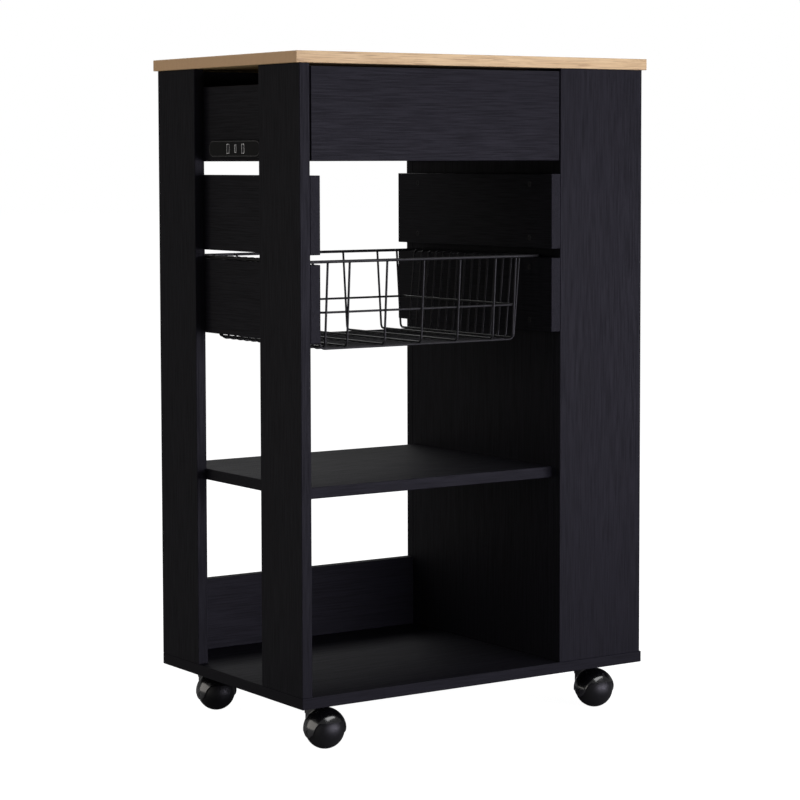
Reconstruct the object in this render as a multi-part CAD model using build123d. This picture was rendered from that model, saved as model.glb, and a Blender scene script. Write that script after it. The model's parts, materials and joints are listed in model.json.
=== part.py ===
from build123d import *
import os

# A kitchen island cart: a flat-pack carcass of 15 mm boards on four hooded ball casters.
# It has a drawer on telescopic slides, a wire basket that slides in slots between side rails,
# open shelves, and a charging strip on the left side.
# Millimetres. The origin is on the floor, under the middle of the worktop.
# X runs to the right, Y to the back (the drawer opens towards -Y), Z up.

# ---------------------------------------------------------------- driving dimensions
BOARD = 15.0                # thickness of every carcass board
HEIGHT = 900.0              # floor to the top of the worktop
CASTER_HEIGHT = 60.0        # floor to the underside of the bottom panel
WORKTOP_WIDTH = 568.0
WORKTOP_DEPTH = 375.0
CARCASS_WIDTH = 558.0       # width of the bottom panel
CARCASS_DEPTH = 370.0
FRONT_OVERHANG = 1.0        # worktop past the carcass at the front
PANEL_INSET = 3.0           # the right-hand panels stand this far inside the bottom panel's end
POST_WIDTH = 101.0          # each left post, front to back
RIGHT_PANEL_WIDTH = 141.0
RAIL_SPANS = {              # bottom and top of the side rails
    "drawer_rail": (761.0, 861.0),
    "upper_basket_rail": (642.0, 743.0),
    "lower_basket_rail": (529.6, 629.6),
}
SHELF_BOTTOM = 328.5
SHELF_SETBACK = 17.5        # middle shelf behind the front and before the back
BACK_BOARD_HEIGHT = 100.0
STRETCHER_HEIGHT = 60.0
EDGE = 0.6                  # edge-band rounding of a board

LEFT = -CARCASS_WIDTH / 2
RIGHT = CARCASS_WIDTH / 2 - PANEL_INSET
FRONT = -WORKTOP_DEPTH / 2 + FRONT_OVERHANG
BACK = FRONT + CARCASS_DEPTH
FLOOR_BOARD_TOP = CASTER_HEIGHT + BOARD
WORKTOP_BOTTOM = HEIGHT - BOARD
WALL_X = RIGHT - RIGHT_PANEL_WIDTH              # inner face of the wall beside the drawer
POST_IN = LEFT + BOARD                          # inner face of the left posts
RAIL_LEFT_IN = POST_IN + BOARD                  # inner faces of the side rails
RAIL_RIGHT_IN = WALL_X - BOARD
BAY_X = (POST_IN + WALL_X) / 2                  # middle of the drawer and basket bay

# drawer
FRONT_GAP = 2.0                                 # gap round the drawer front at its sides
DRAWER_FRONT_HEIGHT = 120.0
SLIDE_THICKNESS = 12.7
SLIDE_HEIGHT = 35.0
SLIDE_LENGTH = 300.0
SLIDE_Z = sum(RAIL_SPANS["drawer_rail"]) / 2
SLIDE_FRONT = FRONT + BOARD + 3.0
SHEET = 1.2                                     # slide steel
SLIDE_PLAY = 1.5                                # ball track between the slide's members
DRAWER_SIDE = 12.0
DRAWER_SIDE_HEIGHT = 85.0
DRAWER_LENGTH = 318.0
DRAWER_BOTTOM_SHEET = 3.0
GROOVE_DEPTH = 5.0

# basket
WIRE = 3.0
RIM_WIRE = 4.0
RIM_CLEARANCE = 0.3                             # rim above the rails that it slides on
RIM_Z = RAIL_SPANS["lower_basket_rail"][1] + RIM_CLEARANCE + RIM_WIRE / 2
RIM_HALF_WIDTH = 194.5
RIM_FRONT = FRONT + 31.5
RIM_BACK = FRONT + 330.0
RIM_CORNER = 18.0
BASKET_TOP_HALF = 166.0
BASKET_BOTTOM_HALF = 156.0
BASKET_FRONT_TOP = FRONT + 35.5
BASKET_FRONT_BOTTOM = FRONT + 43.0
BASKET_BACK_TOP = FRONT + 324.5
BASKET_BACK_BOTTOM = FRONT + 314.5
BASKET_FLOOR_Z = 518.3                          # centre of the cross wires under the basket
WELD = 0.3                                      # how deep crossing wires are fused
HOOP_Z = 565.7
LONG_WIRE_PITCH = 58.6
CORNER_WIRE_X = 151.0
CROSS_WIRE_COUNT = 15
CROSS_WIRE_PITCH = 18.0
CROSS_WIRE_FIRST = BASKET_FRONT_BOTTOM + 5.0
SIDE_BEND = 9.0                                 # bends of the cross wires at the basket's floor
END_BEND = 6.0                                  # bends of the long wires at the basket's floor

# casters
BALL_R = 26.0
TRAIL = 19.0                                    # ball centre in front of the swivel axis
CASTER_X = (-230.0, 215.0)
CASTER_Y = (-142.5, 139.5)
PLATE_SIZE = 38.0
PLATE_THICKNESS = 2.5
STUD_R = 4.0
STUD_BOTTOM = 49.0
RACE_R = 13.0                                   # the plate's race
NECK_R = 15.2                                   # the hood's neck, and the collar round its top
COLLAR_R = 16.2
COLLAR_BOTTOM = 43.5
NECK_BOTTOM = 33.0
NECK_GAP = 0.3
RACE_HEIGHT = 2.6
RUNNING_CLEARANCE = 0.06
HOOD_GAP = 0.7
HOOD_WALL = 1.6
AXLE_R = 2.5
AXLE_ENTRY = 0.6                                # how far the axle goes into each ear of the hood
RECESS_R = 3.3                                  # shallow round recess in each ear
RECESS_OFFSET = (-3.0, -1.2)                    # its place from the axle, along Y and Z
RECESS_DEPTH = 0.8

# charging strip
STRIP_LENGTH = 134.0
STRIP_HEIGHT = 22.5
STRIP_DEPTH = 12.0
STRIP_FACE = 1.2
STRIP_Z = 777.7
STRIP_Y = FRONT + 169.3
PORTS_SHIFT = -3.8                              # middle port from the strip's middle
PORT_PITCH = 19.3

# side compartment
SIDE_SHELF_COUNT = 2
SIDE_SHELF_X = RIGHT - 20.0
ROD_R = 3.0
ROD_X = RIGHT - 9.0
ROD_ABOVE_SHELF = 42.0
ROD_ENTRY = 8.0
PIN_R = 2.5
PIN_LENGTH = 16.0
PIN_ENTRY = 8.0
SHELF_PLAY = 0.5

# fasteners: (shank radius, length, head radius) of each kind of screw
CARCASS_SCREW = (2.5, 45.0, 4.5)
RAIL_SCREW = (2.0, 25.0, 3.8)
CASTER_SCREW = (1.9, 12.0, 3.4)
DRAWER_SCREW = (1.75, 35.0, 3.5)
RAIL_SCREW_EDGE = 14.0                          # from a rail's top and bottom edges
PLATE_HOLE = 14.0                               # caster screws, from the middle of the plate
CAM_R = 7.5
CAM_DEPTH = 12.0
CAM_BOLT_R = 2.5
CAM_SETBACK = 14.0                              # from the cam's middle to the next board
CAM_BOLT_ENTRY = 8.0
HOLE_GROW = 0.1                                 # how much wider a hole is than what it holds

os.makedirs("parts", exist_ok=True)


# ---------------------------------------------------------------- helpers
def block(x, y, z, edge=0.0):
    """A box between pairs of coordinates, with its edges lightly rounded."""
    solid = Pos((x[0] + x[1]) / 2, (y[0] + y[1]) / 2, (z[0] + z[1]) / 2) * Box(
        x[1] - x[0], y[1] - y[0], z[1] - z[0]
    )
    return chamfer(solid.edges(), edge) if edge else solid


def group(solids):
    """Separate solids that share one node."""
    return Compound(children=list(solids))


def write(name, shape):
    shape.label = name
    export_step(shape, f"parts/{name}.step")


def aim(point, direction):
    """A location whose Z axis points along direction."""
    return Plane(origin=point, z_dir=direction).location


def screw(shank_r, length, head_r, grow=0.0):
    """A countersunk screw, head at the origin and shank along +Z. Grown, it is its own hole."""
    head_height = head_r - shank_r + 0.6
    shank = Pos(0, 0, length / 2) * Cylinder(shank_r + grow, length + 2 * grow)
    head = Pos(0, 0, head_height / 2) * Cone(head_r + grow, shank_r + grow, head_height)
    body = shank + head
    if grow:
        return body
    slot = Box(head_r * 1.1, 0.9, 1.6)
    return body - slot - Rot(0, 0, 90) * slot


def cam_lock(grow=0.0):
    """A cam disc let into a board's face: its face at the origin, its body along +Z."""
    disc = Pos(0, 0, CAM_DEPTH / 2) * Cylinder(CAM_R + grow, CAM_DEPTH + 2 * grow)
    if grow:
        return disc
    slot = Box(1.2 * CAM_R, 1.2, 2.4)
    return disc - slot - Rot(0, 0, 90) * slot


def cam_bolt(length, grow=0.0):
    """A cam's bolt: it starts in the cam and runs along +Z into the next board."""
    return Pos(0, 0, length / 2) * Cylinder(CAM_BOLT_R + grow, length + 2 * grow)


def drill(board, holes):
    """Takes each hole's solid from a board."""
    for hole in holes:
        board = board - hole
    return board


# ---------------------------------------------------------------- fastener places
carcass_screw_places = [
    (x, y)
    for x, y_values in (
        (LEFT + BOARD / 2, (FRONT + 20, FRONT + 80, BACK - 80, BACK - 20)),
        (WALL_X + BOARD / 2, (FRONT + 60, 0.0, BACK - 60)),
        (RIGHT - 45, (FRONT + BOARD / 2, BACK - BOARD / 2)),
        (RIGHT - 15, (FRONT + BOARD / 2, BACK - BOARD / 2)),
        (BAY_X - 100, (BACK - BOARD / 2,)),
        (BAY_X + 100, (BACK - BOARD / 2,)),
    )
    for y in y_values
]


def carcass_screws(grow=0.0):
    return [
        Pos(x, y, CASTER_HEIGHT) * screw(*CARCASS_SCREW, grow=grow)
        for x, y in carcass_screw_places
    ]


def rail_screws(grow=0.0):
    """Screws through the inner faces of the rails into the posts and the wall."""
    made = []
    for bottom, top in RAIL_SPANS.values():
        for z in (bottom + RAIL_SCREW_EDGE, top - RAIL_SCREW_EDGE):
            for y in (FRONT + 50, BACK - 50):
                made.append(aim((RAIL_LEFT_IN, y, z), (-1, 0, 0)) * screw(*RAIL_SCREW, grow=grow))
                made.append(aim((RAIL_RIGHT_IN, y, z), (1, 0, 0)) * screw(*RAIL_SCREW, grow=grow))
    return made


swivel_top = CASTER_HEIGHT - PLATE_THICKNESS    # underside of the casters' plates


def caster_screws(x, y, grow=0.0):
    """Four screws up through a caster's plate into the bottom panel."""
    return [
        Pos(x + dx, y + dy, swivel_top) * screw(*CASTER_SCREW, grow=grow)
        for dx in (-PLATE_HOLE, PLATE_HOLE)
        for dy in (-PLATE_HOLE, PLATE_HOLE)
    ]


CAM_Z = WORKTOP_BOTTOM - CAM_SETBACK
# each cam: the place of its face, the way it goes in, and the way its bolt runs
cam_places = [
    ((POST_IN, FRONT + 50, CAM_Z), (-1, 0, 0), (0, 0, 1)),
    ((POST_IN, BACK - 50, CAM_Z), (-1, 0, 0), (0, 0, 1)),
    ((WALL_X + BOARD, FRONT + 90, CAM_Z), (-1, 0, 0), (0, 0, 1)),
    ((WALL_X + BOARD, BACK - 90, CAM_Z), (-1, 0, 0), (0, 0, 1)),
    ((RIGHT - 40, FRONT + BOARD, CAM_Z), (0, -1, 0), (0, 0, 1)),
    ((RIGHT - 40, BACK - BOARD, CAM_Z), (0, 1, 0), (0, 0, 1)),
    ((BAY_X, BACK - BOARD, CAM_Z), (0, 1, 0), (0, 0, 1)),
]
for cam_y in (FRONT + 70, BACK - 50):
    cam_places.append(((POST_IN + CAM_SETBACK, cam_y, SHELF_BOTTOM), (0, 0, 1), (-1, 0, 0)))
    cam_places.append(((WALL_X - CAM_SETBACK, cam_y, SHELF_BOTTOM), (0, 0, 1), (1, 0, 0)))


def cam_bolts(grow=0.0):
    made = []
    for face, inward, along in cam_places:
        start = [f + BOARD / 2 * i for f, i in zip(face, inward)]
        made.append(aim(start, along) * cam_bolt(CAM_SETBACK + CAM_BOLT_ENTRY, grow))
    return made


def cam_locks(grow=0.0):
    return [aim(face, inward) * cam_lock(grow) for face, inward, along in cam_places]


# ---------------------------------------------------------------- carcass boards
boards = {
    "worktop": block(
        (-WORKTOP_WIDTH / 2, WORKTOP_WIDTH / 2),
        (-WORKTOP_DEPTH / 2, WORKTOP_DEPTH / 2),
        (WORKTOP_BOTTOM, HEIGHT),
        EDGE,
    ),
    "bottom_panel": block(
        (LEFT, -LEFT), (FRONT, BACK), (CASTER_HEIGHT, FLOOR_BOARD_TOP), EDGE
    ),
    "front_left_post": block(
        (LEFT, POST_IN), (FRONT, FRONT + POST_WIDTH), (FLOOR_BOARD_TOP, WORKTOP_BOTTOM), EDGE
    ),
    "rear_left_post": block(
        (LEFT, POST_IN), (BACK - POST_WIDTH, BACK), (FLOOR_BOARD_TOP, WORKTOP_BOTTOM), EDGE
    ),
    "inner_wall": block(
        (WALL_X, WALL_X + BOARD),
        (FRONT + BOARD, BACK - BOARD),
        (FLOOR_BOARD_TOP, WORKTOP_BOTTOM),
        EDGE,
    ),
    "front_right_panel": block(
        (WALL_X, RIGHT), (FRONT, FRONT + BOARD), (FLOOR_BOARD_TOP, WORKTOP_BOTTOM), EDGE
    ),
    "rear_right_panel": block(
        (WALL_X, RIGHT), (BACK - BOARD, BACK), (FLOOR_BOARD_TOP, WORKTOP_BOTTOM), EDGE
    ),
    "middle_shelf": block(
        (POST_IN, WALL_X),
        (FRONT + SHELF_SETBACK, BACK - SHELF_SETBACK),
        (SHELF_BOTTOM, SHELF_BOTTOM + BOARD),
        EDGE,
    ),
    "low_back_board": block(
        (POST_IN, WALL_X),
        (BACK - BOARD, BACK),
        (FLOOR_BOARD_TOP, FLOOR_BOARD_TOP + BACK_BOARD_HEIGHT),
        EDGE,
    ),
    "top_rear_stretcher": block(
        (RAIL_LEFT_IN, RAIL_RIGHT_IN),
        (BACK - BOARD, BACK),
        (WORKTOP_BOTTOM - STRETCHER_HEIGHT, WORKTOP_BOTTOM),
        EDGE,
    ),
}
for rail, rail_z in RAIL_SPANS.items():
    # the drawer front covers the front ends of the drawer rails
    rail_front = FRONT + BOARD + 1.5 if rail == "drawer_rail" else FRONT
    boards[f"left_{rail}"] = block((POST_IN, RAIL_LEFT_IN), (rail_front, BACK), rail_z, EDGE)
    boards[f"right_{rail}"] = block((RAIL_RIGHT_IN, WALL_X), (rail_front, BACK), rail_z, EDGE)

# side compartment, open to the right: shelves on pins, with a guard rod over each level
side_bay = (FLOOR_BOARD_TOP, WORKTOP_BOTTOM)
side_pitch = (side_bay[1] - side_bay[0] + BOARD) / (SIDE_SHELF_COUNT + 1)
side_shelf_tops = [side_bay[0] + side_pitch * (i + 1) for i in range(SIDE_SHELF_COUNT)]
for name, top in zip(("lower", "upper"), side_shelf_tops):
    boards[f"{name}_side_shelf"] = block(
        (WALL_X + BOARD + SHELF_PLAY, SIDE_SHELF_X),
        (FRONT + BOARD + SHELF_PLAY, BACK - BOARD - SHELF_PLAY),
        (top - BOARD, top),
        EDGE,
    )


def guard_rods(grow=0.0):
    span = (BACK - FRONT) - 2 * BOARD + 2 * ROD_ENTRY
    return [
        aim((ROD_X, 0.5 * (FRONT + BACK), top + ROD_ABOVE_SHELF), (0, 1, 0))
        * Cylinder(ROD_R + grow, span + 2 * grow)
        for top in [side_bay[0], *side_shelf_tops]
    ]


def shelf_pins(grow=0.0):
    """Pins in the right-hand panels, each under a corner of a side shelf."""
    made = []
    for top in side_shelf_tops:
        for x in (WALL_X + BOARD + 25, SIDE_SHELF_X - 20):
            for face, inward in ((FRONT + BOARD, 1), (BACK - BOARD, -1)):
                middle = face + inward * (PIN_LENGTH / 2 - PIN_ENTRY)
                z = top - BOARD - PIN_R
                made.append(
                    aim((x, middle, z), (0, 1, 0)) * Cylinder(PIN_R + grow, PIN_LENGTH + 2 * grow)
                )
    return made


# ---------------------------------------------------------------- charging strip
strip_back = POST_IN                            # the outer face of the drawer rail
strip_front = strip_back - STRIP_DEPTH


def strip_body(x0, x1, shrink=0.0):
    """A block with round ends along Y, between two X planes."""
    outline = Plane(origin=(x0, STRIP_Y, STRIP_Z), z_dir=(1, 0, 0), x_dir=(0, 1, 0))
    pill = RectangleRounded(
        STRIP_LENGTH - 2 * shrink, STRIP_HEIGHT - 2 * shrink, STRIP_HEIGHT / 2 - shrink - 0.05
    )
    return extrude(outline * pill, x1 - x0)


# each port: how far from the strip's middle, and the width and height of its mouth
ports = [
    (PORTS_SHIFT - PORT_PITCH, 5.2, 11.0),
    (PORTS_SHIFT, 3.0, 8.8),
    (PORTS_SHIFT + PORT_PITCH, 5.2, 11.0),
]
PORT_DEPTH = 9.0
SHELL_WALL = 0.8


def port_block(offset, width, height, border, depth, x0):
    """The outline of a port's shell, or of its mouth, running from the face into the strip."""
    y, half, tall = STRIP_Y + offset, width / 2 + border, height / 2 + border
    return block((x0, x0 + depth), (y - half, y + half), (STRIP_Z - tall, STRIP_Z + tall))


def port_shells(border, depth):
    return [port_block(o, w, h, border, depth, strip_front) for o, w, h in ports]


face_plate = strip_body(strip_front, strip_front + STRIP_FACE, 1.6)
housing = strip_body(strip_front + 0.4, strip_back)
front_rim = housing.faces().sort_by(Axis.X)[0].edges()
housing = fillet(front_rim, 1.4)
housing = drill(housing, [strip_body(strip_front - 1.0, strip_front + STRIP_FACE, 1.5)])
housing = drill(housing, port_shells(SHELL_WALL + 0.05, PORT_DEPTH + 1.05))
face_plate = drill(face_plate, port_shells(SHELL_WALL + 0.05, PORT_DEPTH))
port_inserts = []
for (offset, width, height), shell in zip(ports, port_shells(SHELL_WALL, PORT_DEPTH + 1.0)):
    mouth = port_block(offset, width, height, 0.0, PORT_DEPTH, strip_front - 0.5)
    tongue_x = strip_front + 5.0
    tongue = port_block(offset, width * 0.34, height * 0.8, 0.0, PORT_DEPTH - 4.5, tongue_x)
    port_inserts.append((shell - mouth) + tongue)

# ---------------------------------------------------------------- drill and write the boards
holes_for = {
    "carcass": carcass_screws(HOLE_GROW),
    "rail": rail_screws(HOLE_GROW),
    "bolt": cam_bolts(HOLE_GROW),
    "lock": cam_locks(HOLE_GROW),
    "rod": guard_rods(HOLE_GROW),
    "pin": shelf_pins(HOLE_GROW),
    "caster": [h for x in CASTER_X for y in CASTER_Y for h in caster_screws(x, y, HOLE_GROW)],
}
drilled = {
    "worktop": ("bolt",),
    "bottom_panel": ("carcass", "caster"),
    "front_left_post": ("carcass", "rail", "bolt", "lock"),
    "rear_left_post": ("carcass", "rail", "bolt", "lock"),
    "inner_wall": ("carcass", "rail", "bolt", "lock"),
    "front_right_panel": ("carcass", "bolt", "lock", "rod", "pin"),
    "rear_right_panel": ("carcass", "bolt", "lock", "rod", "pin"),
    "middle_shelf": ("bolt", "lock"),
    "low_back_board": ("carcass",),
    "top_rear_stretcher": ("bolt", "lock"),
}


def near(board, hole):
    a, b = board.bounding_box(), hole.bounding_box()
    return all(
        low < high
        for low, high in (
            (a.min.X, b.max.X), (a.min.Y, b.max.Y), (a.min.Z, b.max.Z),
            (b.min.X, a.max.X), (b.min.Y, a.max.Y), (b.min.Z, a.max.Z),
        )
    )


for name, board in boards.items():
    kinds = ("rail",) if "rail" in name else drilled.get(name, ())
    holes = [hole for kind in kinds for hole in holes_for[kind] if near(board, hole)]
    write(name, drill(board, holes))

write("carcass_screws", group(carcass_screws()))
write("rail_screws", group(rail_screws()))
write("cam_bolts", group(cam_bolts()))
write(
    "cam_locks",
    group(lock - hole for lock, hole in zip(cam_locks(), cam_bolts(HOLE_GROW))),
)
write("side_guard_rods", group(guard_rods()))
write("shelf_pins", group(shelf_pins()))
write("charging_strip_housing", housing)
write("charging_strip_face", face_plate)
write("charging_ports", group(port_inserts))


# ---------------------------------------------------------------- telescopic slides
def channel(height, web_at, flange_to, side):
    """A C-section along Y. web_at and flange_to count from the rail's face towards the drawer."""
    top, low = SLIDE_Z + height / 2, SLIDE_Z - height / 2
    face = RAIL_LEFT_IN if side == "left" else RAIL_RIGHT_IN
    sign = 1 if side == "left" else -1

    def plate(u0, u1, z0, z1):
        x = sorted((face + sign * u0, face + sign * u1))
        return block(x, (SLIDE_FRONT, SLIDE_FRONT + SLIDE_LENGTH), (z0, z1))

    web_to = web_at + SHEET
    reach = (min(web_at, flange_to), max(web_to, flange_to))
    return (
        plate(web_at, web_to, low, top)
        + plate(*reach, top - SHEET, top)
        + plate(*reach, low, low + SHEET)
    )


middle_height = SLIDE_HEIGHT - 2 * (SHEET + SLIDE_PLAY)
inner_height = middle_height - 2 * (SHEET + SLIDE_PLAY)
for side in ("left", "right"):
    write(f"{side}_cabinet_slide", channel(SLIDE_HEIGHT, 0.0, 9.5, side))
    write(f"{side}_middle_slide", channel(middle_height, 2.6, 10.4, side))
    write(f"{side}_drawer_slide", channel(inner_height, SLIDE_THICKNESS - SHEET, 4.8, side))

# ---------------------------------------------------------------- drawer
box_left = RAIL_LEFT_IN + SLIDE_THICKNESS
box_right = RAIL_RIGHT_IN - SLIDE_THICKNESS
box_front = FRONT + BOARD
box_back = box_front + DRAWER_LENGTH
box_low = SLIDE_Z - DRAWER_SIDE_HEIGHT / 2 + 6.0
box_top = box_low + DRAWER_SIDE_HEIGHT
sheet_low = box_low + 8.0
front_low = RAIL_SPANS["drawer_rail"][0]
front_z = (front_low, front_low + DRAWER_FRONT_HEIGHT)


def drawer_sheet(grow=0.0):
    """The drawer's bottom. Grown, it is the groove that holds it."""
    inset = DRAWER_SIDE - GROOVE_DEPTH - grow
    return block(
        (box_left + inset, box_right - inset),
        (box_front - GROOVE_DEPTH - grow, box_back - inset),
        (sheet_low - grow, sheet_low + DRAWER_BOTTOM_SHEET + grow),
    )


drawer_screw_z = (box_low + 25, box_top - 18)


def drawer_screws(grow=0.0):
    """Screws through the drawer's sides into its back."""
    y = box_back - DRAWER_SIDE / 2
    left = [aim((box_left, y, z), (1, 0, 0)) for z in drawer_screw_z]
    right = [aim((box_right, y, z), (-1, 0, 0)) for z in drawer_screw_z]
    return [place * screw(*DRAWER_SCREW, grow=grow) for place in (*left, *right)]


groove = drawer_sheet(HOLE_GROW)
drawer_holes = drawer_screws(HOLE_GROW)
write(
    "drawer_front",
    drill(
        block(
            (POST_IN + FRONT_GAP, WALL_X - FRONT_GAP), (FRONT, box_front), front_z, EDGE
        ),
        [groove],
    ),
)
for side, x in (
    ("left", (box_left, box_left + DRAWER_SIDE)),
    ("right", (box_right - DRAWER_SIDE, box_right)),
):
    board = block(x, (box_front, box_back), (box_low, box_top), EDGE)
    screw_holes = [hole for hole in drawer_holes if near(board, hole)]
    write(f"drawer_{side}_side", drill(board, [groove, *screw_holes]))
back_board = block(
    (box_left + DRAWER_SIDE, box_right - DRAWER_SIDE),
    (box_back - DRAWER_SIDE, box_back),
    (box_low, box_top),
    EDGE,
)
write("drawer_back", drill(back_board, [groove, *drawer_holes]))
write("drawer_bottom", drawer_sheet())
write("drawer_screws", group(drawer_screws()))


# ---------------------------------------------------------------- wire basket
def wire(points, radii, thickness):
    """A round wire along straight runs joined by arcs."""
    path = FilletPolyline(*points, radius=radii)
    start = Plane(origin=path @ 0, z_dir=path % 0)
    return sweep(start * Circle(thickness / 2), path=path)


def ring(half_width, y_front, y_back, z, corner, thickness):
    """A closed rectangular ring of wire with round corners."""
    middle = (y_front + y_back) / 2
    outline = Pos(BAY_X, middle, z) * RectangleRounded(2 * half_width, y_back - y_front, corner)
    path = outline.wire()
    start = Plane(origin=path @ 0, z_dir=path % 0)
    return sweep(start * Circle(thickness / 2), path=path)


def slope(top, bottom, z):
    """Where a wall of the basket is at height z, between its top and its floor."""
    share = (z - BASKET_FLOOR_Z) / (RIM_Z - BASKET_FLOOR_Z)
    return bottom + (top - bottom) * share


def cross_wire(y):
    """A wire from one side rim, down, under the basket and up to the other side rim."""
    right = [
        (BAY_X + RIM_HALF_WIDTH, y, RIM_Z),
        (BAY_X + BASKET_TOP_HALF, y, RIM_Z),
        (BAY_X + BASKET_BOTTOM_HALF, y, BASKET_FLOOR_Z),
    ]
    left = [(2 * BAY_X - x, y, z) for x, y, z in reversed(right)]
    return wire(right + left, [5.0, SIDE_BEND, SIDE_BEND, 5.0], WIRE)


def long_wire(x):
    """A wire from the front rim, down, along the basket's floor and up to the rear rim."""
    z_floor = BASKET_FLOOR_Z + WIRE - WELD
    points = [
        (x, RIM_FRONT, RIM_Z),
        (x, BASKET_FRONT_TOP, RIM_Z),
        (x, BASKET_FRONT_BOTTOM, z_floor),
        (x, BASKET_BACK_BOTTOM, z_floor),
        (x, BASKET_BACK_TOP, RIM_Z),
        (x, RIM_BACK, RIM_Z),
    ]
    return wire(points, [3.0, END_BEND, END_BEND, 3.0], WIRE)


write("basket_rim", ring(RIM_HALF_WIDTH, RIM_FRONT, RIM_BACK, RIM_Z, RIM_CORNER, RIM_WIRE))
hoop_inset = WIRE - WELD
write(
    "basket_hoop",
    ring(
        slope(BASKET_TOP_HALF, BASKET_BOTTOM_HALF, HOOP_Z) - hoop_inset,
        slope(BASKET_FRONT_TOP, BASKET_FRONT_BOTTOM, HOOP_Z) + hoop_inset,
        slope(BASKET_BACK_TOP, BASKET_BACK_BOTTOM, HOOP_Z) - hoop_inset,
        HOOP_Z,
        8.0,
        WIRE,
    ),
)
write(
    "basket_cross_wires",
    group(cross_wire(CROSS_WIRE_FIRST + CROSS_WIRE_PITCH * i) for i in range(CROSS_WIRE_COUNT)),
)
long_wire_x = [LONG_WIRE_PITCH * k for k in range(-2, 3)] + [-CORNER_WIRE_X, CORNER_WIRE_X]
write("basket_long_wires", group(long_wire(BAY_X + x) for x in sorted(long_wire_x)))


# ---------------------------------------------------------------- casters
race_bottom = swivel_top - RACE_HEIGHT
axle_length = 2 * (BALL_R + HOOD_GAP + AXLE_ENTRY)

# side view of the hood, in ball radii: Y back and Z up from the ball's middle
hood_outline = [
    (-1.3, 0.445), (-0.67, 0.445), (-0.58, 0.29), (-0.50, 0.09), (-0.43, -0.07),
    (-0.35, -0.20), (-0.16, -0.33), (0.05, -0.345), (0.22, -0.26), (0.36, -0.10),
    (0.80, -0.06), (1.3, -0.06), (1.3, 1.3), (-1.3, 1.3),
]


def upright(x, y, low, high, radius):
    """An upright cylinder."""
    return Pos(x, y, (low + high) / 2) * Cylinder(radius, high - low)


def caster_plate(x, y):
    """The fixed plate under the bottom panel, with its race and the stud that the hood turns on."""
    plate = Pos(x, y, CASTER_HEIGHT - PLATE_THICKNESS / 2) * Box(
        PLATE_SIZE, PLATE_SIZE, PLATE_THICKNESS
    )
    plate = fillet(plate.edges().filter_by(Axis.Z), 6.0)
    race = upright(x, y, race_bottom, swivel_top, RACE_R)
    stud = upright(x, y, STUD_BOTTOM, swivel_top, STUD_R)
    return drill(plate + chamfer(race.edges(), 0.5) + stud, caster_screws(x, y, HOLE_GROW))


def caster_hood(x, y):
    """The swivelling hood: part of a round shell with two ears, and the collared neck that turns."""
    centre = Pos(x, y - TRAIL, BALL_R)
    outer_r = BALL_R + HOOD_GAP + HOOD_WALL
    side = Plane(origin=(x - 1.5 * BALL_R, y - TRAIL, BALL_R), z_dir=(1, 0, 0), x_dir=(0, 1, 0))
    outline = side * Polygon(*[(BALL_R * u, BALL_R * v) for u, v in hood_outline], align=None)
    shell = (centre * Sphere(outer_r)) & extrude(outline, 3 * BALL_R)
    neck_top = race_bottom - NECK_GAP
    neck = upright(x, y, NECK_BOTTOM, neck_top, NECK_R)
    collar = upright(x, y, COLLAR_BOTTOM, neck_top, COLLAR_R)
    hood = shell + neck + chamfer(collar.edges(), 0.4) - centre * Sphere(BALL_R + HOOD_GAP)
    recesses = [
        centre
        * Pos(sign * (outer_r - RECESS_DEPTH + BALL_R), *RECESS_OFFSET)
        * Rot(0, 90, 0)
        * Cylinder(RECESS_R, 2 * BALL_R)
        for sign in (-1, 1)
    ]
    stud_hole = upright(x, y, STUD_BOTTOM - NECK_GAP, swivel_top, STUD_R + RUNNING_CLEARANCE)
    axle_hole = centre * Rot(0, 90, 0) * Cylinder(AXLE_R, axle_length)
    return drill(hood, [stud_hole, axle_hole, *recesses])


def caster_ball(x, y):
    bore = Rot(0, 90, 0) * Cylinder(AXLE_R + RUNNING_CLEARANCE, 3 * BALL_R)
    return Pos(x, y - TRAIL, BALL_R) * (Sphere(BALL_R) - bore)


def caster_axle(x, y):
    return Pos(x, y - TRAIL, BALL_R) * Rot(0, 90, 0) * Cylinder(AXLE_R, axle_length)


all_caster_screws = []
for x, x_name in zip(CASTER_X, ("left", "right")):
    for y, y_name in zip(CASTER_Y, ("front", "rear")):
        corner = f"{y_name}_{x_name}"
        write(f"{corner}_caster_plate", caster_plate(x, y))
        write(f"{corner}_caster_hood", caster_hood(x, y))
        write(f"{corner}_caster_ball", caster_ball(x, y))
        write(f"{corner}_caster_axle", caster_axle(x, y))
        all_caster_screws += caster_screws(x, y)
write("caster_screws", group(all_caster_screws))
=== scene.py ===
import json
import math

import bpy
from mathutils import Matrix, Vector


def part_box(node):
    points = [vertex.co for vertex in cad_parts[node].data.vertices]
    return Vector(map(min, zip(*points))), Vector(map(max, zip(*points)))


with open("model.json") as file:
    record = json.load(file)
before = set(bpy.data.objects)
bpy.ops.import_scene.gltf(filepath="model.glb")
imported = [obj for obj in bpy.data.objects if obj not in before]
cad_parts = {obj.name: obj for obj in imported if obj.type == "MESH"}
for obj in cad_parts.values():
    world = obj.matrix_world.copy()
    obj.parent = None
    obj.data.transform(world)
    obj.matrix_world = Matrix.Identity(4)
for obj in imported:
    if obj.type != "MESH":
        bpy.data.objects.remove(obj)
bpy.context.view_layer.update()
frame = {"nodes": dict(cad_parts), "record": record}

# The looks of the kitchen island cart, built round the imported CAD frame. Metres.
# X runs to the right, Y to the back and Z up; the origin is on the floor under the worktop.

nodes = frame["nodes"]
MM = 0.001

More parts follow.
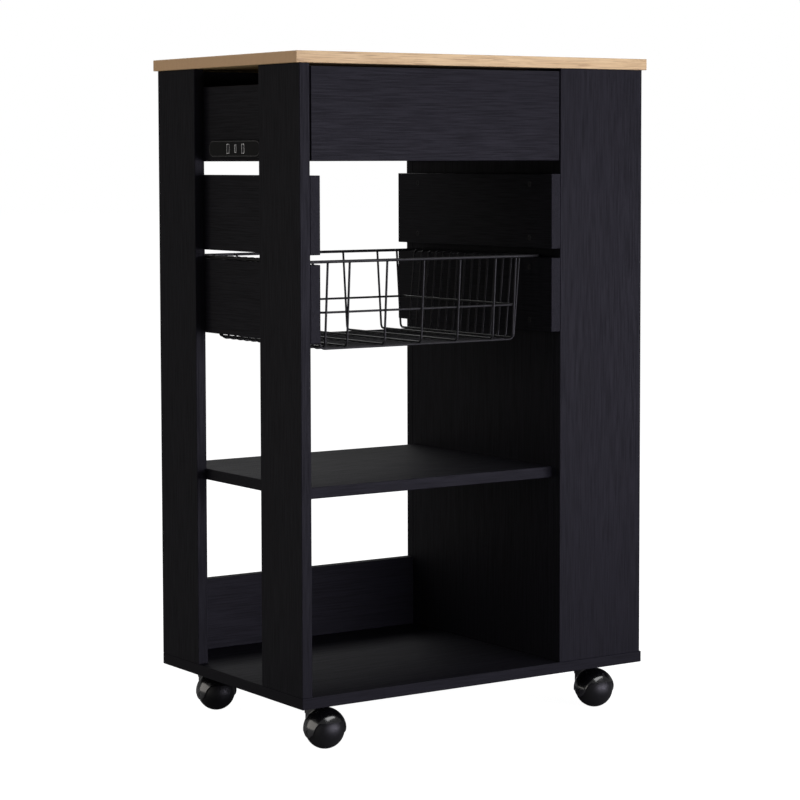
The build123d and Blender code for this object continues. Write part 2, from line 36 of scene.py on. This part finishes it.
# ------------------------------------------------------------------ camera
CAMERA_PLACE = (-1.9503, -2.8832, 0.7619)
CAMERA_YAW = math.radians(33.828)        # turned from +Y towards +X
CAMERA_PITCH = math.radians(4.092)       # looking down
CAMERA_ROLL = math.radians(-0.159)
CAMERA_LENS = 113.04
SENSOR = 36.0
CAMERA_SHIFT = (0.0125, -0.075)


def make_camera():
    """A long lens in front of the cart, to its left, at the height of the drawer."""
    yaw, pitch, roll = CAMERA_YAW, CAMERA_PITCH, CAMERA_ROLL
    forward = Vector(
        (math.sin(yaw) * math.cos(pitch), math.cos(yaw) * math.cos(pitch), -math.sin(pitch))
    )
    level = Vector((math.cos(yaw), -math.sin(yaw), 0.0))
    upright = level.cross(forward)
    right = math.cos(roll) * level + math.sin(roll) * upright
    up = math.cos(roll) * upright - math.sin(roll) * level
    data = bpy.data.cameras.new("camera")
    data.lens = CAMERA_LENS
    data.sensor_width = SENSOR
    data.shift_x, data.shift_y = CAMERA_SHIFT
    camera = bpy.data.objects.new("camera", data)
    bpy.context.scene.collection.objects.link(camera)
    turn = Matrix((right, up, -forward)).transposed()
    camera.matrix_world = Matrix.Translation(CAMERA_PLACE) @ turn.to_4x4()
    bpy.context.scene.camera = camera


# ------------------------------------------------------------------ stage and lights
def make_light(name, place, aim, size, watts, colour=(1.0, 1.0, 1.0)):
    """A soft rectangular light that points from place to aim."""
    data = bpy.data.lights.new(name, "AREA")
    data.shape = "RECTANGLE"
    data.size, data.size_y = size
    data.energy = watts
    data.color = colour
    lamp = bpy.data.objects.new(name, data)
    lamp.location = place
    way = Vector(aim) - Vector(place)
    lamp.rotation_euler = way.to_track_quat("-Z", "Y").to_euler()
    bpy.context.scene.collection.objects.link(lamp)


WORLD_LIGHT = 0.10
FLOOR_GLOW = 0.98
FLOOR_REACH = 30.0


def make_world():
    """White to the camera, and a weaker even light on the cart."""
    world = bpy.data.worlds.new("studio")
    bpy.context.scene.world = world
    world.use_nodes = True
    tree = world.node_tree
    back = tree.nodes["Background"]
    back.inputs["Color"].default_value = (1.0, 1.0, 1.0, 1.0)
    path = tree.nodes.new("ShaderNodeLightPath")
    level = tree.nodes.new("ShaderNodeMapRange")
    level.inputs["To Min"].default_value = WORLD_LIGHT
    level.inputs["To Max"].default_value = 1.0
    tree.links.new(path.outputs["Is Camera Ray"], level.inputs["Value"])
    tree.links.new(level.outputs["Result"], back.inputs["Strength"])


def make_floor():
    """A plain floor: white to the camera, and grey in what the cart reflects."""
    mesh = bpy.data.meshes.new("floor")
    signs = ((-1, -1), (1, -1), (1, 1), (-1, 1))
    corners = [(FLOOR_REACH * x, FLOOR_REACH * y, 0) for x, y in signs]
    mesh.from_pydata(corners, [], [(0, 1, 2, 3)])
    floor = bpy.data.objects.new("floor", mesh)
    bpy.context.scene.collection.objects.link(floor)
    material = bpy.data.materials.new("floor_white")
    material.use_nodes = True
    tree = material.node_tree
    shader = tree.nodes["Principled BSDF"]
    shader.inputs["Base Color"].default_value = (0.35, 0.35, 0.35, 1.0)
    shader.inputs["Roughness"].default_value = 1.0
    shader.inputs["Specular IOR Level"].default_value = 0.0
    glow = tree.nodes.new("ShaderNodeLightPath")
    level = tree.nodes.new("ShaderNodeMapRange")
    level.inputs["To Min"].default_value = 0.0
    level.inputs["To Max"].default_value = FLOOR_GLOW
    tree.links.new(glow.outputs["Is Camera Ray"], level.inputs["Value"])
    tree.links.new(level.outputs["Result"], shader.inputs["Emission Strength"])
    shader.inputs["Emission Color"].default_value = (1.0, 1.0, 1.0, 1.0)
    mesh.materials.append(material)


# ------------------------------------------------------------------ material helpers
class Graph:
    """A short way to write one material's node graph."""

    def __init__(self, name):
        self.material = bpy.data.materials.new(name)
        self.material.use_nodes = True
        self.tree = self.material.node_tree
        self.shader = self.tree.nodes["Principled BSDF"]
        self.place = self.node("ShaderNodeTexCoord").outputs["Object"]

    def node(self, kind, **settings):
        made = self.tree.nodes.new(kind)
        for key, value in settings.items():
            setattr(made, key, value)
        return made

    def feed(self, socket, value):
        if isinstance(value, bpy.types.NodeSocket):
            self.tree.links.new(value, socket)
        else:
            socket.default_value = value

    def scaled(self, scale):
        """The object's own coordinates, stretched by scale along each axis."""
        mapping = self.node("ShaderNodeMapping")
        self.feed(mapping.inputs["Vector"], self.place)
        mapping.inputs["Scale"].default_value = scale
        return mapping.outputs["Vector"]

    def noise(self, vector, scale=1.0, detail=4.0, rough=0.5, distort=0.0):
        made = self.node("ShaderNodeTexNoise")
        self.feed(made.inputs["Vector"], vector)
        made.inputs["Scale"].default_value = scale
        made.inputs["Detail"].default_value = detail
        made.inputs["Roughness"].default_value = rough
        made.inputs["Distortion"].default_value = distort
        return made.outputs["Fac"]

    def ramp(self, value, stops):
        """A colour ramp: stops are (position, colour)."""
        made = self.node("ShaderNodeValToRGB")
        self.feed(made.inputs["Fac"], value)
        band = made.color_ramp
        while len(band.elements) < len(stops):
            band.elements.new(0.5)
        for element, (position, colour) in zip(band.elements, stops):
            element.position = position
            element.color = (*colour, 1.0)
        return made.outputs["Color"]

    def span(self, value, low, high, out_low, out_high):
        """Maps low..high to out_low..out_high, and holds the ends."""
        made = self.node("ShaderNodeMapRange")
        self.feed(made.inputs["Value"], value)
        made.inputs["From Min"].default_value = low
        made.inputs["From Max"].default_value = high
        made.inputs["To Min"].default_value = out_low
        made.inputs["To Max"].default_value = out_high
        return made.outputs["Result"]

    def math(self, operation, a, b=0.0):
        made = self.node("ShaderNodeMath", operation=operation)
        self.feed(made.inputs[0], a)
        self.feed(made.inputs[1], b)
        return made.outputs["Value"]

    def mix(self, factor, a, b):
        """Goes from colour a to colour b as factor goes from 0 to 1."""
        made = self.node("ShaderNodeMix", data_type="RGBA")
        self.feed(made.inputs["Factor"], factor)
        for key, value in (("A", a), ("B", b)):
            socket = next(s for s in made.inputs if s.name == key and s.type == "RGBA")
            self.feed(socket, (*value, 1.0) if isinstance(value, tuple) else value)
        return next(s for s in made.outputs if s.type == "RGBA")

    def edge(self, radius):
        """About 0 on flat faces and 1 on an arris."""
        rounded = self.node("ShaderNodeBevel", samples=4)
        rounded.inputs["Radius"].default_value = radius
        flat = self.node("ShaderNodeNewGeometry")
        dot = self.node("ShaderNodeVectorMath", operation="DOT_PRODUCT")
        self.feed(dot.inputs[0], rounded.outputs["Normal"])
        self.feed(dot.inputs[1], flat.outputs["Normal"])
        return self.span(dot.outputs["Value"], 0.75, 1.0, 1.0, 0.0)

    def bump(self, height, distance, strength):
        made = self.node("ShaderNodeBump")
        made.inputs["Distance"].default_value = distance
        made.inputs["Strength"].default_value = strength
        self.feed(made.inputs["Height"], height)
        return made.outputs["Normal"]

    def set(self, **values):
        """Sets the shader's sockets; underscores stand for spaces."""
        for key, value in values.items():
            socket = self.shader.inputs[key.replace("_", " ")]
            if isinstance(value, tuple) and len(value) == 3:
                value = (*value, 1.0)
            self.feed(socket, value)
        return self.material


def along(axis, lengthwise, across):
    """Texture scales for a grain that runs along one axis."""
    return tuple(lengthwise if i == "XYZ".index(axis) else across for i in range(3))


# ------------------------------------------------------------------ materials
# blur, shine and clear coat of the polished hoods and of the satin balls
HOOD_FINISH = (0.20, 0.8, 1.0)
BALL_FINISH = (0.42, 0.45, 0.0)
# how far the black plating has worn, from 0 to 1
PLATE_WEAR = 1.0
SCREW_WEAR = 0.1
PORT_SHADE_DEPTH = 2 * MM                     # how far into a port the painted shade darkens its shell


def black_laminate(axis):
    """Charcoal woodgrain foil on board, with its pores along one axis."""
    g = Graph(f"charcoal_laminate_{axis.lower()}")
    figure = g.noise(g.scaled(along(axis, 1.6, 22.0)), 1.0, 5.0, 0.55, 1.2)
    pores = g.noise(g.scaled(along(axis, 18.0, 900.0)), 1.0, 3.0, 0.6)
    streaks = g.noise(g.scaled(along(axis, 5.0, 260.0)), 1.0, 4.0, 0.6, 0.4)
    tone = g.ramp(
        figure,
        [(0.30, (0.0082, 0.0079, 0.0108)), (0.55, (0.0098, 0.0094, 0.0133)),
         (0.75, (0.0088, 0.0084, 0.0117))],
    )
    pore_depth = g.span(pores, 0.38, 0.56, 0.0, 1.0)
    streak_tone = g.span(streaks, 0.35, 0.65, 0.0, 0.35)
    tone = g.mix(streak_tone, tone, (0.0112, 0.0106, 0.0153))
    tone = g.mix(g.math("SUBTRACT", 1.0, pore_depth), tone, (0.0062, 0.0059, 0.0082))
    wear = g.math("MULTIPLY", g.edge(0.0012), g.span(streaks, 0.3, 0.7, 0.25, 0.8))
    tone = g.mix(wear, tone, (0.024, 0.023, 0.030))
    rough = g.span(pores, 0.35, 0.60, 0.62, 0.46)
    normal = g.bump(pore_depth, 0.00010, 0.28)
    return g.set(
        Base_Color=tone, Roughness=rough, Normal=normal, Specular_IOR_Level=0.11
    )


def oak_laminate():
    """Light oak foil: long boards with cathedral figure, fine pores and a warm variation."""
    g = Graph("oak_laminate")
    warp = g.noise(g.scaled((1.1, 5.0, 5.0)), 1.0, 3.0, 0.5)
    stretched = g.scaled((0.9, 16.0, 16.0))
    shift = g.node("ShaderNodeVectorMath", operation="ADD")
    g.feed(shift.inputs[0], stretched)
    g.feed(shift.inputs[1], g.ramp(warp, [(0.0, (0.0, 0.0, 0.0)), (1.0, (2.4, 2.4, 2.4))]))
    rings = g.node("ShaderNodeTexWave", wave_type="BANDS", bands_direction="Y")
    g.feed(rings.inputs["Vector"], shift.outputs["Vector"])
    rings.inputs["Scale"].default_value = 0.9
    rings.inputs["Distortion"].default_value = 5.5
    rings.inputs["Detail"].default_value = 3.0
    rings.inputs["Detail Scale"].default_value = 1.3
    fibre = g.noise(g.scaled((7.0, 420.0, 420.0)), 1.0, 4.0, 0.6)
    pores = g.noise(g.scaled((26.0, 1300.0, 1300.0)), 1.0, 2.0, 0.5)
    board = g.noise(g.scaled((0.6, 2.2, 2.2)), 1.0, 2.0, 0.5)
    tone = g.ramp(
        rings.outputs["Fac"],
        [(0.0, (0.690, 0.470, 0.215)), (0.45, (0.825, 0.600, 0.298)), (1.0, (0.740, 0.522, 0.245))],
    )
    tone = g.mix(g.span(fibre, 0.35, 0.65, 0.0, 0.45), tone, (0.550, 0.352, 0.160))
    tone = g.mix(g.span(board, 0.35, 0.65, 0.0, 0.35), tone, (0.850, 0.628, 0.342))
    pore_depth = g.span(pores, 0.36, 0.46, 0.0, 1.0)
    tone = g.mix(g.math("MULTIPLY", g.math("SUBTRACT", 1.0, pore_depth), 0.6), tone,
                 (0.360, 0.206, 0.094))
    tone = g.mix(g.math("MULTIPLY", g.edge(0.001), 0.25), tone, (0.90, 0.71, 0.48))
    facing = g.node("ShaderNodeSeparateXYZ")
    g.feed(facing.inputs["Vector"], g.node("ShaderNodeTexCoord").outputs["Normal"])
    end_band = g.span(g.math("ABSOLUTE", facing.outputs["X"]), 0.6, 0.9, 0.0, 0.75)
    tone = g.mix(end_band, tone, (0.96, 0.60, 0.34))
    rough = g.span(fibre, 0.3, 0.7, 0.40, 0.55)
    normal = g.bump(pore_depth, 0.00010, 0.5)
    return g.set(Base_Color=tone, Roughness=rough, Normal=normal, Specular_IOR_Level=0.45)


def powder_coat():
    """Black powder coat on wire: fine orange peel and a soft sheen."""
    g = Graph("black_powder_coat")
    peel = g.noise(g.place, 1500.0, 2.0, 0.5)
    blotch = g.noise(g.place, 60.0, 3.0, 0.6)
    tone = g.ramp(blotch, [(0.3, (0.0150, 0.0150, 0.0150)), (0.7, (0.0240, 0.0236, 0.0232))])
    return g.set(
        Base_Color=tone,
        Roughness=g.span(blotch, 0.3, 0.7, 0.34, 0.46),
        Normal=g.bump(peel, 0.00004, 0.5),
        Specular_IOR_Level=0.26,
    )


def gloss_black(name, blur, shine, coat):
    """Black moulding of a caster, with faint dust and hairline scratches."""
    g = Graph(name)
    dust = g.noise(g.place, 300.0, 4.0, 0.6)
    scratch = g.noise(g.scaled((40.0, 40.0, 1500.0)), 1.0, 3.0, 0.5)
    tone = g.ramp(dust, [(0.35, (0.0030, 0.0029, 0.0036)), (0.75, (0.0060, 0.0058, 0.0068))])
    haze = g.span(dust, 0.4, 0.7, blur, blur + 0.10)
    rough = g.math("ADD", haze, g.span(scratch, 0.6, 0.8, 0.0, 0.08))
    return g.set(
        Base_Color=tone,
        Roughness=rough,
        Normal=g.bump(scratch, 0.00001, 0.3),
        Specular_IOR_Level=shine,
        Coat_Weight=coat,
        Coat_IOR=1.8,
        Coat_Roughness=0.14,
    )


def strip_plastic():
    """Spark-eroded black plastic of the charging strip, with a painted highlight along its edges.
    """
    g = Graph("strip_plastic")
    grain = g.noise(g.place, 2200.0, 2.0, 0.6)
    cloud = g.noise(g.place, 45.0, 3.0, 0.5)
    tone = g.ramp(cloud, [(0.3, (0.0045, 0.0045, 0.0048)), (0.7, (0.0070, 0.0070, 0.0074))])
    # painted highlight: the strip's edges are painted much lighter than its face, and shine more
    # there
    painted_highlight_rim = g.edge(0.0010)
    tone = g.mix(g.math("MULTIPLY", painted_highlight_rim, 0.9), tone, (0.170, 0.170, 0.174))
    return g.set(
        Base_Color=tone,
        Roughness=g.span(grain, 0.3, 0.7, 0.34, 0.48),
        Normal=g.bump(grain, 0.00003, 0.6),
        Specular_IOR_Level=g.span(painted_highlight_rim, 0.0, 1.0, 0.10, 0.60),
    )


def port_shell():
    """Nickel-plated port shells: bright at the mouth, with painted shade darkening them inside."""
    g = Graph("port_shell")
    cloud = g.noise(g.place, 700.0, 3.0, 0.5)
    apart = g.node("ShaderNodeSeparateXYZ")
    g.feed(apart.inputs["Vector"], g.place)
    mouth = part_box("charging_strip_face")[0][0]
    # painted shade: the shells turn dark and less metallic deeper inside the ports
    painted_shade_inside = g.span(apart.outputs["X"], mouth, mouth + PORT_SHADE_DEPTH, 0.0, 1.0)
    tone = g.ramp(cloud, [(0.3, (0.80, 0.80, 0.83)), (0.7, (0.92, 0.92, 0.94))])
    tone = g.mix(painted_shade_inside, tone, (0.012, 0.012, 0.014))
    return g.set(
        Base_Color=tone,
        Metallic=g.span(painted_shade_inside, 0.0, 1.0, 1.0, 0.2),
        Roughness=g.span(cloud, 0.3, 0.7, 0.25, 0.40),
        Normal=g.bump(cloud, 0.00001, 0.4),
    )


def zinc_steel():
    """Bright zinc-plated steel, brushed along Y."""
    g = Graph("zinc_steel")
    brush = g.noise(g.scaled(along("Y", 12.0, 1500.0)), 1.0, 3.0, 0.6)
    cloud = g.noise(g.place, 35.0, 3.0, 0.5)
    tone = g.ramp(cloud, [(0.3, (0.46, 0.47, 0.49)), (0.7, (0.60, 0.61, 0.62))])
    return g.set(
        Base_Color=tone,
        Metallic=1.0,
        Roughness=g.span(brush, 0.3, 0.7, 0.22, 0.42),
        Normal=g.bump(brush, 0.00002, 0.4),
    )


def black_steel(name, wear):
    """Black-plated steel, which shines where it is worn."""
    g = Graph(name)
    cloud = g.noise(g.place, 90.0, 4.0, 0.6)
    fresh, worn = (0.006, 0.006, 0.007), (0.052, 0.052, 0.058)
    tone = g.mix(g.span(cloud, 0.3, 0.7, 0.3 * wear, 0.9 * wear), fresh, worn)
    tone = g.mix(g.math("MULTIPLY", g.edge(0.0008), 0.7 * wear), tone, (0.16, 0.16, 0.17))
    return g.set(
        Base_Color=tone,
        Metallic=0.8 * wear,
        Specular_IOR_Level=0.2,
        Roughness=g.span(cloud, 0.3, 0.7, 0.28, 0.45),
        Normal=g.bump(cloud, 0.00003, 0.4),
    )


def hardboard():
    """The drawer's thin bottom: dark lacquered hardboard with a fine mottle."""
    g = Graph("dark_hardboard")
    mottle = g.noise(g.place, 420.0, 4.0, 0.7)
    cloud = g.noise(g.place, 20.0, 3.0, 0.5)
    tone = g.ramp(mottle, [(0.35, (0.013, 0.012, 0.014)), (0.65, (0.026, 0.024, 0.027))])
    tone = g.mix(g.span(cloud, 0.4, 0.6, 0.0, 0.3), tone, (0.010, 0.010, 0.011))
    return g.set(
        Base_Color=tone,
        Roughness=g.span(mottle, 0.3, 0.7, 0.50, 0.65),
        Normal=g.bump(mottle, 0.00005, 0.5),
    )


def dress(name, material):
    """Gives one CAD node its material."""
    piece = nodes[name]
    if not piece.material_slots:
        piece.data.materials.append(material)
    for holder in piece.material_slots:
        holder.material = material


# ------------------------------------------------------------------ dressing the CAD nodes
SIDES = ("left", "right")
RAILS = ("drawer_rail", "upper_basket_rail", "lower_basket_rail")
board_materials = {axis: black_laminate(axis) for axis in "XYZ"}
# the boards by the way that their grain runs
boards = {
    "X": [
        "bottom_panel", "middle_shelf", "low_back_board", "top_rear_stretcher",
        "drawer_front", "drawer_back",
    ],
    "Y": [
        *(f"{side}_{rail}" for side in SIDES for rail in RAILS),
        "drawer_left_side", "drawer_right_side", "lower_side_shelf", "upper_side_shelf",
    ],
    "Z": [
        "front_left_post", "rear_left_post", "inner_wall", "front_right_panel", "rear_right_panel",
    ],
}
for axis, names in boards.items():
    for name in names:
        dress(name, board_materials[axis])

# the other nodes by the material slot that the record gives them
finishes = {
    "oak_top": oak_laminate(),
    "black_wire": powder_coat(),
    "caster_gloss": gloss_black("hood_gloss", *HOOD_FINISH),
    "black_plastic": strip_plastic(),
    "port_metal": port_shell(),
    "zinc_steel": zinc_steel(),
    "caster_steel": black_steel("plate_steel", PLATE_WEAR),
    "hardboard": hardboard(),
}
for part in frame["record"]["subparts"]:
    if part["material_slot"] in finishes:
        dress(part["node"], finishes[part["material_slot"]])

# two finishes that differ from their slot's usual one
dress("rail_screws", black_steel("screw_black", SCREW_WEAR))
ball_satin = gloss_black("ball_satin", *BALL_FINISH)
for name in nodes:
    if name.endswith("_caster_ball"):
        dress(name, ball_satin)


# ------------------------------------------------------------------ stage
make_camera()
make_world()
make_floor()
make_light("key", (1.0, -3.0, 0.50), (0.0, 0.0, 0.40), (3.2, 0.9), 68.0, (0.98, 0.94, 1.14))
make_light("left_fill", (-2.5, 0.7, 0.70), (0.0, 0.0, 0.35), (3.2, 1.7), 14.5, (1.05, 1.00, 0.94))
make_light("top", (0.5, -1.3, 2.8), (0.0, 0.0, 0.6), (2.8, 1.2), 22.0)
make_light("back_fill", (0.5, 2.4, 2.7), (0.0, 0.0, 0.4), (2.0, 1.4), 30.0)
bpy.context.scene.view_settings.view_transform = "Standard"
